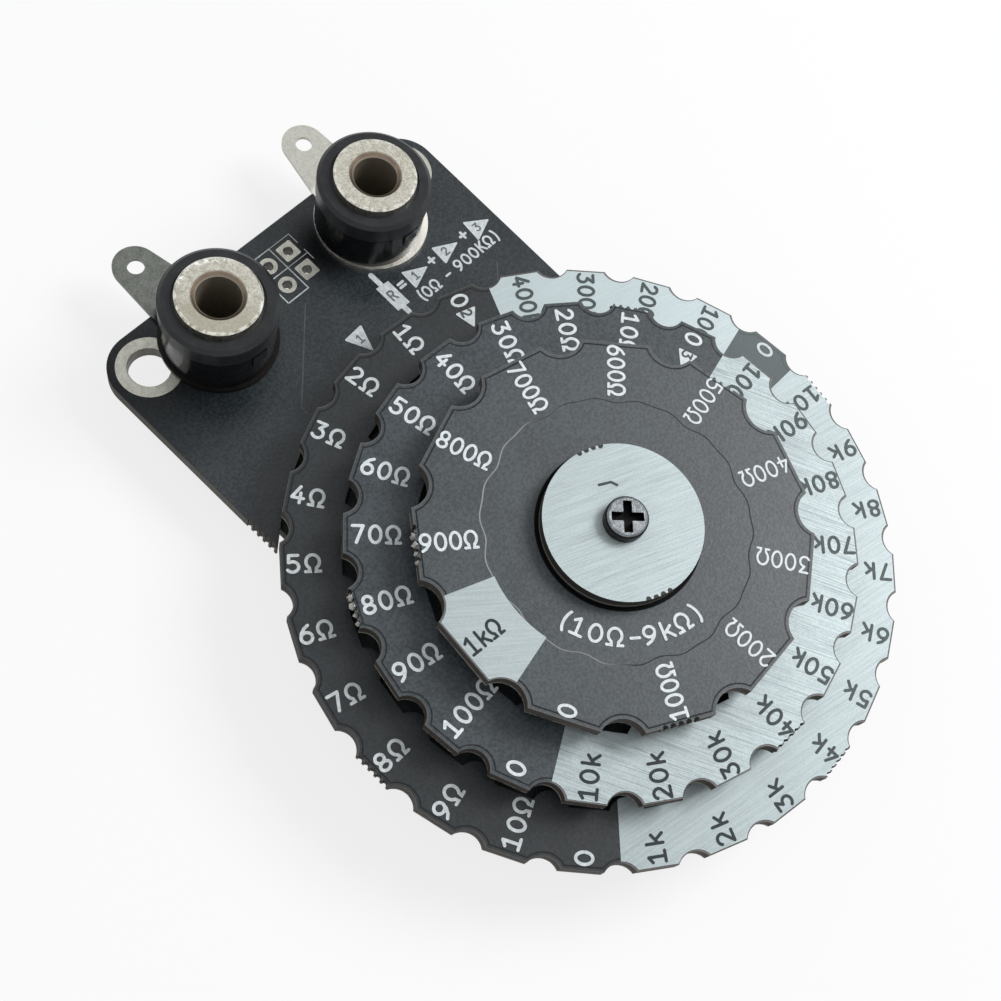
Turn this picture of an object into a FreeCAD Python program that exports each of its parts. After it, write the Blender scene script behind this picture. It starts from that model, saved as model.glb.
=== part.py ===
import FreeCAD
import Part
import Sketcher
import os

doc = FreeCAD.newDocument("ResistorBoard")
sheet = doc.addObject("Spreadsheet::Sheet", "Sheet")

values = [
    ("headThick", 1.6), ("ringThick", 1.6), ("carrierThick", 1.6), ("hubThick", 1.6),
    ("baseGap", 0.9), ("levelGap", 0.1), ("hubGap", 0.1), ("restDrop", 3.4),
    ("pivotAway", 41.0), ("headHalfWidth", 19.8), ("headCorner", 3.7), ("headStart", 20.8),
    ("holeRadius", 1.95), ("headTabAt", 22.75),
    ("dialOneTeeth", 27), ("dialOneFlat", 28.5), ("dialOneBite", 1.71), ("dialOneBiteAt", 29.47),
    ("dialTwoTeeth", 22), ("dialTwoFlat", 23.4), ("dialTwoBite", 1.64), ("dialTwoBiteAt", 23.96),
    ("dialThreeTeeth", 11), ("dialThreeFlat", 17.74), ("dialThreeBite", 2.19), ("dialThreeBiteAt", 18.95),
    ("dialOneTurn", 72.3), ("dialTwoTurn", 20.8), ("dialThreeTurn", 206.9),
    ("nestOne", 0.05), ("nestTwo", -0.1), ("nestThree", -0.6), ("nestHub", -0.1),
    ("hubRadius", 7.18), ("tabHole", 0.27), ("tabPitch", 0.72), ("tabCount", 5),
    ("carrierOneRadius", 25.7), ("carrierTwoRadius", 21.0), ("carrierThreeRadius", 15.2),
    ("baseRadius", 25.3), ("tongueInset", 1.9), ("nutFree", 2.48),
    ("postRadius", 2.5), ("postFlange", 4.0), ("runFit", 0.06), ("seatFit", 0.02),
    ("screwRadius", 0.98), ("screwHead", 1.93), ("screwHeadTall", 1.3), ("screwLong", 11.0),
    ("crossWide", 0.78), ("crossLong", 2.86), ("crossDeep", 0.9), ("crossTurn", 45), ("screwDome", 0.28),
    ("spacerRadius", 4.6), ("spacerSlack", 0.1),
    ("discSpringThick", 0.35), ("discSpringRise", 0.55), ("discSpringRadius", 5.4),
    ("padInset", 2.3), ("slipRadius", 7.5),
    ("chipLong", 2.0), ("chipWide", 1.25), ("chipTall", 0.5), ("chipInset", 5.0),
    ("fingerLong", 3.2), ("fingerWide", 1.2), ("fingerThick", 0.2), ("fingerFree", 0.06),
    ("fingerTurn", 24.0),
    ("jackAcross", 9.525), ("jackAlong", 39.1), ("jackTall", 8.6), ("jackProud", 0.9),
    ("socketRadius", 2.02), ("socketMouth", 2.45), ("socketDeep", 12.0), ("tubeRadius", 3.0),
    ("tubeHead", 3.84), ("tubeRim", 0.2), ("collarStep", 0.25),
    ("collarRadius", 5.3), ("collarTall", 2.3), ("collarRound", 0.35), ("collarSeat", 0.3),
    ("sleeveRadius", 5.15), ("sleeveNeck", 4.9), ("sleeveNeckTall", 0.35),
    ("keyWide", 1.6), ("keyTall", 1.6), ("keyProud", 0.12), ("keyRoot", 0.8),
    ("tagThick", 0.45), ("tagRingRadius", 5.5), ("tagTail", 10.1), ("tagEnd", 2.12),
    ("tagHole", 0.8), ("tagRootHalf", 3.0), ("tagRootAt", 3.6), ("tagBlend", 0.35),
    ("tagTurnLeft", 4.5), ("tagTurnRight", -4.4), ("tagFree", 0.4), ("tagSlip", 0.3),
    ("washerRadius", 3.6), ("washerThick", 1.0), ("nutFlats", 8.0), ("nutTall", 1.9),
    ("padPitch", 2.54), ("padRowAt", 40.35), ("padDrill", 0.5), ("padShift", 0.24), ("through", 1.0),
]
for row, (alias, number) in enumerate(values, start=1):
    cell = "B" + str(row)
    sheet.set("A" + str(row), alias)
    sheet.set(cell, str(number))
    sheet.setAlias(cell, alias)
doc.recompute()

zHead = "Sheet.headThick"
zCarrierOne = "(" + zHead + " + Sheet.baseGap)"
zRingOne = "(" + zCarrierOne + " + Sheet.carrierThick)"
zTopOne = "(" + zRingOne + " + Sheet.ringThick)"
zCarrierTwo = "(" + zTopOne + " + Sheet.levelGap)"
zRingTwo = "(" + zCarrierTwo + " + Sheet.carrierThick)"
zTopTwo = "(" + zRingTwo + " + Sheet.ringThick)"
zCarrierThree = "(" + zTopTwo + " + Sheet.levelGap)"
zRingThree = "(" + zCarrierThree + " + Sheet.carrierThick)"
zTopThree = "(" + zRingThree + " + Sheet.ringThick)"
zHub = "(" + zTopThree + " + Sheet.hubGap)"
zHubTop = "(" + zHub + " + Sheet.hubThick)"
under = "(-Sheet.carrierThick)"
pivotY = "(-Sheet.pivotAway)"
holeX = "(Sheet.headHalfWidth - Sheet.headCorner)"
tongueHalf = "(Sheet.headHalfWidth - Sheet.tongueInset)"
nutCorner = "(Sheet.nutFlats / sqrt(3))"
tongueReach = "(Sheet.jackAlong - " + nutCorner + " - Sheet.nutFree)"
jackY = "(Sheet.jackAlong - Sheet.pivotAway)"
nodes = []


def bind(thing, **links):
    for key, text in links.items():
        thing.setExpression(key.replace("_", "."), text)


def place(thing, x="0", y="0", z="0", turn=None):
    if turn is not None:
        thing.Placement.Rotation = FreeCAD.Rotation(FreeCAD.Vector(0, 0, 1), 10)
        thing.setExpression("Placement.Rotation.Angle", turn)
    thing.setExpression("Placement.Base.x", x)
    thing.setExpression("Placement.Base.y", y)
    thing.setExpression("Placement.Base.z", z)
    return thing


def node(thing, label):
    thing.Label = label
    nodes.append(thing)
    return thing


def cylinder(name, radius, height, x="0", y=pivotY, z="0"):
    thing = doc.addObject("Part::Cylinder", name)
    bind(thing, Radius=radius, Height=height)
    return place(thing, x, y, z)


def box(name, long, wide, tall, x, y, z):
    thing = doc.addObject("Part::Box", name)
    bind(thing, Length=long, Width=wide, Height=tall)
    return place(thing, x, y, z)


def bore(name, radius, tall, x="0", y=pivotY, z="0"):
    return cylinder(name, radius, "(" + tall + " + 2 * Sheet.through)", x, y, "(" + z + " - Sheet.through)")


def cut(name, base, tool):
    thing = doc.addObject("Part::Cut", name)
    thing.Base = base
    thing.Tool = tool
    return thing


def fuse(name, shapes):
    thing = doc.addObject("Part::MultiFuse", name)
    thing.Shapes = shapes
    return thing


def gather(name, shapes):
    thing = doc.addObject("Part::Compound", name)
    thing.Links = shapes
    return thing


def plane(body, role):
    for item in body.Origin.OriginFeatures:
        if item.Role == role:
            return item
    raise ValueError(role)


def newSketch(body, name, role):
    sketch = body.newObject("Sketcher::SketchObject", name)
    sketch.AttachmentSupport = [(plane(body, role), "")]
    sketch.MapMode = "FlatFace"
    return sketch


def bound(sketch, kind, geometry, spot, text, guess):
    if text == "0":
        axis = -2 if kind == "DistanceX" else -1
        sketch.addConstraint(Sketcher.Constraint("PointOnObject", geometry, spot, axis))
        return
    link = Sketcher.Constraint(kind, -1, 1, geometry, spot, guess)
    number = sketch.addConstraint(link)
    sketch.setExpression("Constraints[" + str(number) + "]", text)


def circleIn(sketch, x, y, radius, guess, size=1.0):
    middle = FreeCAD.Vector(guess[0], guess[1], 0)
    index = sketch.addGeometry(Part.Circle(middle, FreeCAD.Vector(0, 0, 1), size))
    bound(sketch, "DistanceX", index, 3, x, guess[0])
    bound(sketch, "DistanceY", index, 3, y, guess[1])
    number = sketch.addConstraint(Sketcher.Constraint("Radius", index, size))
    sketch.setExpression("Constraints[" + str(number) + "]", radius)


def valueOf(text):
    known = {alias: number for alias, number in values}
    for alias in sorted(known, key=len, reverse=True):
        text = text.replace("Sheet." + alias, str(float(known[alias])))
    return FreeCAD.Units.parseQuantity(text).Value


def profile(body, name, corners, role="XZ_Plane"):
    sketch = newSketch(body, name, role)
    spots = [(valueOf(x), valueOf(y)) for x, y in corners]
    count = len(spots)
    for first in range(count):
        start = FreeCAD.Vector(spots[first][0], spots[first][1], 0)
        end = FreeCAD.Vector(spots[(first + 1) % count][0], spots[(first + 1) % count][1], 0)
        sketch.addGeometry(Part.LineSegment(start, end))
    for first in range(count):
        after = (first + 1) % count
        sketch.addConstraint(Sketcher.Constraint("Coincident", first, 2, after, 1))
    for first in range(count):
        bound(sketch, "DistanceX", first, 1, corners[first][0], spots[first][0])
        bound(sketch, "DistanceY", first, 1, corners[first][1], spots[first][1])
    return sketch


def turned(name, corners, x="0", y=pivotY, z="0", turn=None):
    body = doc.addObject("PartDesign::Body", name)
    sketch = profile(body, name + "Profile", corners)
    spin = body.newObject("PartDesign::Revolution", name + "Spin")
    spin.Profile = sketch
    spin.ReferenceAxis = (sketch, ["V_Axis"])
    spin.Angle = 360
    body.Tip = spin
    return place(body, x, y, z, turn)


def pocketThrough(body, name, sketch):
    pocket = body.newObject("PartDesign::Pocket", name)
    pocket.Profile = sketch
    pocket.Type = "ThroughAll"
    pocket.Reversed = True
    return pocket


def around(body, name, feature, count):
    pattern = body.newObject("PartDesign::PolarPattern", name)
    pattern.Originals = [feature]
    pattern.Axis = (plane(body, "Z_Axis"), [""])
    pattern.Angle = 360
    pattern.setExpression("Occurrences", count)
    return pattern


def notchRow(body, name, edge, middle, turn):
    start = middle + " + (1 - Sheet.tabCount) / 2 * Sheet.tabPitch"
    low = start + " - Sheet.tabHole * sqrt(3) / 2"
    high = start + " + Sheet.tabHole * sqrt(3) / 2"
    inside = edge + " - Sheet.tabHole / 2"
    outside = edge + " + Sheet.tabHole"
    corners = [(edge + " - Sheet.tabHole", start), (inside, low), (outside, low)]
    corners += [(outside, high), (inside, high)]
    sketch = profile(body, name + "Sketch", corners, "XY_Plane")
    sketch.AttachmentOffset.Rotation = FreeCAD.Rotation(FreeCAD.Vector(0, 0, 1), 10)
    sketch.setExpression("AttachmentOffset.Rotation.Angle", turn)
    notch = pocketThrough(body, name, sketch)
    row = body.newObject("PartDesign::LinearPattern", name + "Row")
    row.Originals = [notch]
    row.Direction = (sketch, ["V_Axis"])
    row.setExpression("Length", "(Sheet.tabCount - 1) * Sheet.tabPitch")
    row.setExpression("Occurrences", "Sheet.tabCount")
    body.Tip = row


def toothed(name, dial, height, turn, z, grow="0", tabTeeth=()):
    teeth = "Sheet." + dial + "Teeth"
    flat = "(Sheet." + dial + "Flat + " + grow + ")"
    biteAt = "(Sheet." + dial + "BiteAt + " + grow + ")"
    body = doc.addObject("PartDesign::Body", name)
    prism = body.newObject("PartDesign::AdditivePrism", name + "Prism")
    bind(prism, Polygon=teeth, Circumradius=flat + " / cos(180 deg / " + teeth + ")", Height=height)
    doc.recompute()
    sketch = newSketch(body, name + "BiteSketch", "XY_Plane")
    circleIn(sketch, biteAt, "0", "Sheet." + dial + "Bite", (valueOf(biteAt), 0))
    pocket = pocketThrough(body, name + "Bite", sketch)
    pattern = around(body, name + "Bites", pocket, teeth)
    body.Tip = pattern
    for spot, tooth in enumerate(tabTeeth):
        step = "(" + str(tooth) + " + 0.5) * 360 deg / " + teeth
        notchRow(body, name + "Tab" + str(spot), flat, "0", step)
    turnBack = "(" + turn + " - 180 / " + teeth + ") * 1 deg"
    return place(body, "0", pivotY, z, turnBack)


def labelRing(label, dial, turn, z, inner, innerGrow, tabTeeth):
    outline = toothed(label + "Outline", dial, "Sheet.ringThick", turn, z, "0", tabTeeth)
    deep = "(Sheet.ringThick + 2 * Sheet.through)"
    low = "(" + z + " - Sheet.through)"
    if inner is None:
        radius = "(Sheet.hubRadius + Sheet.nestHub)"
        window = cylinder(label + "Window", radius, deep, z=low)
    else:
        window = toothed(label + "Window", inner, deep, turn, low, innerGrow)
    return node(cut(label + "Cut", outline, window), label)


def carrier(label, radius, z):
    disc = cylinder(label + "Disc", radius, "Sheet.carrierThick", z=z)
    hole = bore(label + "Hole", "(Sheet.postRadius + Sheet.runFit)", "Sheet.carrierThick", z=z)
    return node(cut(label + "Cut", disc, hole), label)


def spacer(label, z, tall):
    body = cylinder(label + "Body", "Sheet.spacerRadius", tall, z=z)
    hole = bore(label + "Hole", "(Sheet.postRadius + Sheet.runFit)", tall, z=z)
    return node(cut(label + "Cut", body, hole), label)


def chipRing(label, teeth, at, z, turn):
    body = doc.addObject("PartDesign::Body", label + "Body")
    body.AllowCompound = True
    block = body.newObject("PartDesign::AdditiveBox", label + "Block")
    bind(block, Length="Sheet.chipWide", Width="Sheet.chipLong", Height="Sheet.chipTall")
    block.setExpression("Placement.Base.x", at + " - Sheet.chipWide / 2")
    block.setExpression("Placement.Base.y", "-Sheet.chipLong / 2")
    body.Tip = around(body, label + "Pattern", block, teeth)
    return node(place(body, "0", pivotY, "(" + z + " - Sheet.chipTall)", "(" + turn + ") * 1 deg"), label)


turnOne = "Sheet.dialOneTurn"
turnTwo = "Sheet.dialTwoTurn"
turnThree = "Sheet.dialThreeTurn"
labelRing("dial_1_ring", "dialOne", turnOne, zRingOne, "dialTwo", "Sheet.nestTwo", (8, 15, 21))
labelRing("dial_2_ring", "dialTwo", turnTwo, zRingTwo, "dialThree", "Sheet.nestThree", (8, 15, 1))
labelRing("dial_3_ring", "dialThree", turnThree, zRingThree, None, None, (9, 1, 5))
carrier("dial_1_carrier", "Sheet.carrierOneRadius", zCarrierOne)
carrier("dial_2_carrier", "Sheet.carrierTwoRadius", zCarrierTwo)
carrier("dial_3_carrier", "Sheet.carrierThreeRadius", zCarrierThree)

levels = [
    ("dial_1", "dialOne", turnOne, "Sheet.carrierOneRadius", zCarrierOne),
    ("dial_2", "dialTwo", turnTwo, "Sheet.carrierTwoRadius", zCarrierTwo),
    ("dial_3", "dialThree", turnThree, "Sheet.carrierThreeRadius", zCarrierThree),
]
for label, dial, turn, radius, z in levels:
    teeth = "Sheet." + dial + "Teeth"
    chipRing(label + "_resistors", teeth, radius + " - Sheet.chipInset", z, turn + " + 180 / " + teeth)


def contactFingers(label, radius, z, above, turn):
    tall = "(" + above + " - " + z + " - Sheet.fingerFree)"
    thick = "Sheet.fingerThick"
    heel = "(-0.85 * Sheet.fingerLong)"
    toe = "(0.15 * Sheet.fingerLong)"
    corners = [(heel, "0"), (toe, "0"), (toe, thick), (heel + " + 2 * " + thick, thick)]
    corners += [(toe + " - 0.2 * Sheet.fingerLong", tall + " - " + thick), (toe, tall + " - " + thick)]
    corners += [(toe, tall), (toe + " - 0.3 * Sheet.fingerLong", tall), (heel, thick)]
    fingers = []
    for name, at in (("Outer", radius + " - Sheet.padInset"), ("Inner", "Sheet.slipRadius")):
        title = label.title().replace("_", "") + name
        body = doc.addObject("PartDesign::Body", title)
        sketch = profile(body, title + "Profile", corners)
        strip = body.newObject("PartDesign::Pad", title + "Strip")
        strip.Profile = sketch
        strip.Midplane = True
        strip.setExpression("Length", "Sheet.fingerWide")
        body.Tip = strip
        x = "(" + at + ") * cos(" + turn + " * 1 deg)"
        y = pivotY + " + (" + at + ") * sin(" + turn + " * 1 deg)"
        fingers.append(place(body, x, y, z, turn + " * 1 deg"))
    return node(gather(label + "Group", fingers), label)


contactFingers("base_contacts", "Sheet.carrierOneRadius", "0", zCarrierOne, "Sheet.fingerTurn")
contactFingers("dial_1_contacts", "Sheet.carrierTwoRadius", zRingOne, zCarrierTwo, turnOne)
contactFingers("dial_2_contacts", "Sheet.carrierThreeRadius", zRingTwo, zCarrierThree, turnTwo)

spacer("base_spacer", "0", "(" + zCarrierOne + " - Sheet.spacerSlack)")
spacer("dial_1_spacer", zRingOne, "(" + zCarrierTwo + " - " + zRingOne + " - Sheet.spacerSlack)")
spacer("dial_2_spacer", zRingTwo, "(" + zCarrierThree + " - " + zRingTwo + " - Sheet.spacerSlack)")
springTall = "(Sheet.discSpringThick + Sheet.discSpringRise)"
springZ = "(" + zHub + " - " + springTall + ")"
spacer("dial_3_spacer", zRingThree, "(" + springZ + " - " + zRingThree + " - Sheet.spacerSlack)")

springIn = "(Sheet.postRadius + Sheet.runFit)"
springCorners = [(springIn, "Sheet.discSpringRise"), ("Sheet.discSpringRadius", "0")]
springCorners += [("Sheet.discSpringRadius", "Sheet.discSpringThick"), (springIn, springTall)]
node(turned("DiscSpring", springCorners, z=springZ), "disc_spring")

postTop = zHub
postBottom = "(-Sheet.restDrop)"
screwHole = "(Sheet.screwRadius + Sheet.seatFit)"
postCorners = [(screwHole, postBottom), ("Sheet.postFlange", postBottom), ("Sheet.postFlange", under)]
postCorners += [("Sheet.postRadius", under), ("Sheet.postRadius", postTop), (screwHole, postTop)]
node(turned("PivotPost", postCorners), "pivot_post")

hubDisc = cylinder("HubDisc", "Sheet.hubRadius", "Sheet.hubThick", z=zHub)
hubHole = bore("HubHole", screwHole, "Sheet.hubThick", z=zHub)
node(cut("HubCut", hubDisc, hubHole), "hub_disc")

headTop = "(" + zHubTop + " + Sheet.screwHeadTall)"
headSide = "(" + headTop + " - Sheet.screwDome)"
screwEnd = "(" + zHubTop + " - Sheet.screwLong)"
screwCorners = [("0", screwEnd), ("Sheet.screwRadius", screwEnd), ("Sheet.screwRadius", zHubTop)]
screwCorners += [("Sheet.screwHead", zHubTop), ("Sheet.screwHead", headSide)]
screwCorners += [("Sheet.screwHead - Sheet.screwDome", headTop), ("0", headTop)]
screwBody = turned("PivotScrew", screwCorners)
crossZ = "(" + headTop + " - Sheet.crossDeep)"
crossA = box("CrossA", "Sheet.crossLong", "Sheet.crossWide", "(Sheet.crossDeep + 1)",
             "-Sheet.crossLong / 2", "-Sheet.crossWide / 2", crossZ)
crossB = box("CrossB", "Sheet.crossWide", "Sheet.crossLong", "(Sheet.crossDeep + 1)",
             "-Sheet.crossWide / 2", "-Sheet.crossLong / 2", crossZ)
cross = place(fuse("Cross", [crossA, crossB]), "0", pivotY, "0", "Sheet.crossTurn * 1 deg")
node(cut("ScrewCut", screwBody, cross), "pivot_screw")

head = doc.addObject("PartDesign::Body", "HeadBoard")
headStartY = "Sheet.headStart - Sheet.pivotAway"
headCorners = [("-Sheet.headHalfWidth", headStartY), ("Sheet.headHalfWidth", headStartY)]
headCorners += [("Sheet.headHalfWidth", "Sheet.headCorner"), ("-Sheet.headHalfWidth", "Sheet.headCorner")]
headPad = head.newObject("PartDesign::Pad", "HeadPad")
headPad.Profile = profile(head, "HeadSketch", headCorners, "XY_Plane")
headPad.setExpression("Length", "Sheet.headThick")
doc.recompute()
farY = valueOf("Sheet.headCorner")
farUprights = []
for index, edge in enumerate(headPad.Shape.Edges, start=1):
    spots = [vertex.Point for vertex in edge.Vertexes]
    if all(abs(spot.y - farY) < 0.001 for spot in spots) and abs(spots[0].z - spots[1].z) > 0.001:
        farUprights.append("Edge" + str(index))
headRound = head.newObject("PartDesign::Fillet", "HeadRound")
headRound.Base = (headPad, farUprights)
headRound.setExpression("Radius", "Sheet.headCorner")
holeSketch = newSketch(head, "HeadHoles", "XY_Plane")
across = valueOf(holeX)
jackAcross = valueOf("Sheet.jackAcross")
jackAlong = valueOf("Sheet.jackAlong - Sheet.pivotAway")
padLow = valueOf("Sheet.padRowAt - Sheet.pivotAway - Sheet.padPitch / 2")
halfPitch = valueOf("Sheet.padPitch / 2")
padShift = valueOf("Sheet.padShift")
halfDrill = valueOf("Sheet.padDrill")
padHigh = valueOf("Sheet.padRowAt - Sheet.pivotAway + Sheet.padPitch / 2")
for sign, side in (("", 1), ("-", -1)):
    circleIn(holeSketch, sign + holeX, "0", "Sheet.holeRadius", (side * across, 0))
    circleIn(holeSketch, sign + "Sheet.jackAcross", "Sheet.jackAlong - Sheet.pivotAway",
             "Sheet.tubeRadius + Sheet.seatFit", (side * jackAcross, jackAlong))
    for shift, guess in (("-", padLow), ("+", padHigh)):
        circleIn(holeSketch, sign + "Sheet.padPitch / 2 + Sheet.padShift",
                 "Sheet.padRowAt - Sheet.pivotAway " + shift + " Sheet.padPitch / 2",
                 "Sheet.padDrill", (side * halfPitch + padShift, guess), halfDrill)
headHoles = pocketThrough(head, "HeadHolePocket", holeSketch)
head.Tip = headHoles
notchRow(head, "HeadTab", "Sheet.headHalfWidth", "Sheet.pivotAway - Sheet.headTabAt", "180 deg")
windowDeep = "(Sheet.headThick + 2 * Sheet.through)"
headWindow = toothed("HeadWindow", "dialOne", windowDeep, "90", "(-Sheet.through)", "Sheet.nestOne")
node(cut("HeadCut", head, headWindow), "head_board")

baseDisc = cylinder("BaseDisc", "Sheet.baseRadius", "Sheet.carrierThick", z=under)
tongueWide = "2 * " + tongueHalf
tongue = box("Tongue", tongueWide, tongueReach, "Sheet.carrierThick", "-" + tongueHalf, pivotY, under)
basePlate = fuse("BasePlate", [baseDisc, tongue])
baseHole = bore("BaseHole", "(Sheet.postRadius + Sheet.seatFit)", "Sheet.carrierThick", z=under)
node(cut("BaseCut", basePlate, baseHole), "base_carrier")


sockets = [("-", "left", "Sheet.tagTurnLeft", "0"), ("", "right", "Sheet.tagTurnRight", "Sheet.tagSlip")]
for sign, side, tilt, slip in sockets:
    x = sign + "Sheet.jackAcross"
    name = side.title()
    sleeveZ = "(" + zHead + " + Sheet.tagThick)"
    rimZ = "(" + zHead + " + Sheet.jackTall)"
    collarZ = "(" + rimZ + " - Sheet.jackProud - Sheet.collarTall)"
    inner = "Sheet.tubeRadius + Sheet.seatFit"

    tagRing = cylinder("TagRing" + name, "Sheet.tagRingRadius", "Sheet.tagThick", "0", "0", "0")
    tagEnd = cylinder("TagEnd" + name, "Sheet.tagEnd", "Sheet.tagThick", "0", "Sheet.tagTail", "0")
    tail = doc.addObject("PartDesign::Body", "TagTail" + name)
    blendX = "sqrt(Sheet.tagEnd * Sheet.tagEnd - Sheet.tagBlend * Sheet.tagBlend)"
    tailCorners = [("-Sheet.tagRootHalf", "Sheet.tagRootAt"), ("Sheet.tagRootHalf", "Sheet.tagRootAt")]
    blendY = "Sheet.tagTail + Sheet.tagBlend"
    tailCorners += [(blendX, blendY), ("-" + blendX, blendY)]
    tailSketch = profile(tail, "TagTailSketch" + name, tailCorners, "XY_Plane")
    tailPad = tail.newObject("PartDesign::Pad", "TagTailPad" + name)
    tailPad.Profile = tailSketch
    tailPad.setExpression("Length", "Sheet.tagThick")
    tagWhole = fuse("TagWhole" + name, [tagRing, tagEnd, tail])
    tagBore = bore("TagBore" + name, "(" + inner + " + Sheet.tagFree)", "Sheet.tagThick", "0", "0")
    tagEye = bore("TagEye" + name, "Sheet.tagHole", "Sheet.tagThick", "0", "Sheet.tagTail")
    tagTools = fuse("TagTools" + name, [tagBore, tagEye])
    tag = cut("Tag" + name, tagWhole, tagTools)
    tagX = x + " + " + slip
    tagY = jackY + " - " + slip + " / 2"
    node(place(tag, tagX, tagY, zHead, tilt + " * 1 deg"), "solder_tag_" + side)

    neckZ = "(" + collarZ + " - Sheet.sleeveNeckTall)"
    sleeveCorners = [(inner, sleeveZ), ("Sheet.sleeveRadius", sleeveZ), ("Sheet.sleeveRadius", neckZ)]
    sleeveCorners += [("Sheet.sleeveNeck", neckZ), ("Sheet.sleeveNeck", collarZ), (inner, collarZ)]
    sleeve = turned("Sleeve" + name, sleeveCorners, x, jackY)
    keyX = x + " - Sheet.keyWide / 2"
    keyY = jackY + " - Sheet.sleeveRadius - Sheet.keyProud"
    key = box("Key" + name, "Sheet.keyWide", "(Sheet.keyProud + Sheet.keyRoot)", "Sheet.keyTall",
              keyX, keyY, "(" + neckZ + " - Sheet.keyTall)")
    node(fuse("SleeveKey" + name, [sleeve, key]), "jack_sleeve_" + side)

    collarTop = "(" + collarZ + " + Sheet.collarTall)"
    stepZ = "(" + collarTop + " - Sheet.collarStep)"
    collarCorners = [(inner, collarZ), ("Sheet.collarRadius", collarZ)]
    collarCorners += [("Sheet.collarRadius", collarTop + " - Sheet.collarRound")]
    collarCorners += [("Sheet.collarRadius - Sheet.collarRound", collarTop)]
    collarCorners += [("Sheet.tubeHead + Sheet.collarSeat", collarTop)]
    collarCorners += [("Sheet.tubeHead + Sheet.collarSeat", stepZ), (inner, stepZ)]
    node(turned("Collar" + name, collarCorners, x, jackY), "jack_collar_" + side)

    tubeEnd = "(-Sheet.restDrop)"
    floor = "(" + rimZ + " - Sheet.socketDeep)"
    mouth = "(" + rimZ + " - (Sheet.socketMouth - Sheet.socketRadius))"
    tubeCorners = [("0", tubeEnd), ("Sheet.tubeRadius", tubeEnd), ("Sheet.tubeRadius", stepZ)]
    tubeCorners += [("Sheet.tubeHead", stepZ), ("Sheet.tubeHead", rimZ + " - Sheet.tubeRim")]
    tubeCorners += [("Sheet.tubeHead - Sheet.tubeRim", rimZ), ("Sheet.socketMouth", rimZ)]
    tubeCorners += [("Sheet.socketRadius", mouth), ("Sheet.socketRadius", floor), ("0", floor)]
    node(turned("Tube" + name, tubeCorners, x, jackY), "jack_tube_" + side)

    washerCorners = [(inner, "-Sheet.washerThick"), ("Sheet.washerRadius", "-Sheet.washerThick")]
    washerCorners += [("Sheet.washerRadius", "0"), (inner, "0")]
    node(turned("Washer" + name, washerCorners, x, jackY), "jack_washer_" + side)

    hexagon = doc.addObject("Part::Prism", "Nut" + name)
    hexagon.Polygon = 6
    bind(hexagon, Circumradius=nutCorner, Height="Sheet.nutTall")
    nutZ = "(-Sheet.washerThick - Sheet.nutTall)"
    place(hexagon, x, jackY, nutZ)
    nutBore = bore("NutBore" + name, inner, "Sheet.nutTall", x, jackY, nutZ)
    node(cut("NutCut" + name, hexagon, nutBore), "jack_nut_" + side)

doc.recompute()

for thing in doc.Objects:
    if "Invalid" in thing.State or "Error" in thing.State:
        raise RuntimeError(thing.Name + " " + str(thing.State))
for thing in nodes:
    if thing.Shape.isNull() or not thing.Shape.isValid():
        raise RuntimeError(thing.Label + " has no valid shape")

os.makedirs("parts", exist_ok=True)
for thing in nodes:
    thing.Shape.exportStep("parts/" + thing.Label + ".step")
print("nodes", len(nodes))
for thing in nodes:
    print(thing.Label, len(thing.Shape.Solids), round(thing.Shape.Volume, 3))
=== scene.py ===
import math
import bpy
import numpy as np
from mathutils import Matrix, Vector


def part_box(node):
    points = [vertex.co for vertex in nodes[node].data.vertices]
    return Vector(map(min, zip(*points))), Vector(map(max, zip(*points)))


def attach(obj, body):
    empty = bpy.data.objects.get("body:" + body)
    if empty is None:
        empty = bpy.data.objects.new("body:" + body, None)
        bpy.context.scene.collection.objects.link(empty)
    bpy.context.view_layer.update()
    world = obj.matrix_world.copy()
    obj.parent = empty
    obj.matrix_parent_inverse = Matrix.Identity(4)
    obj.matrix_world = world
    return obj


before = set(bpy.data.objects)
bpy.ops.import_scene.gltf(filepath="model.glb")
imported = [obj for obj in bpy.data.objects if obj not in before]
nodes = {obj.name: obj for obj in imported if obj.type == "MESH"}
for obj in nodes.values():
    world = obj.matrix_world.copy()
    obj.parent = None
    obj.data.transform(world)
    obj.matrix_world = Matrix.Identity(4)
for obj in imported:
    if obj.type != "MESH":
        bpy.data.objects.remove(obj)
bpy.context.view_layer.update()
mm = 0.001  # settings and shapes are in mm, and become metres where a mesh is made
pivot = (0.0, -41.0)  # the dials' axis

top = {name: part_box(name)[1][2] / mm for name in
       ("head_board", "dial_1_ring", "dial_2_ring", "dial_3_ring", "hub_disc")}
lowest = min(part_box(name)[0][2] for name in nodes)
print("frame:", len(nodes), "nodes, levels", {k: round(v, 2) for k, v in top.items()})

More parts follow.
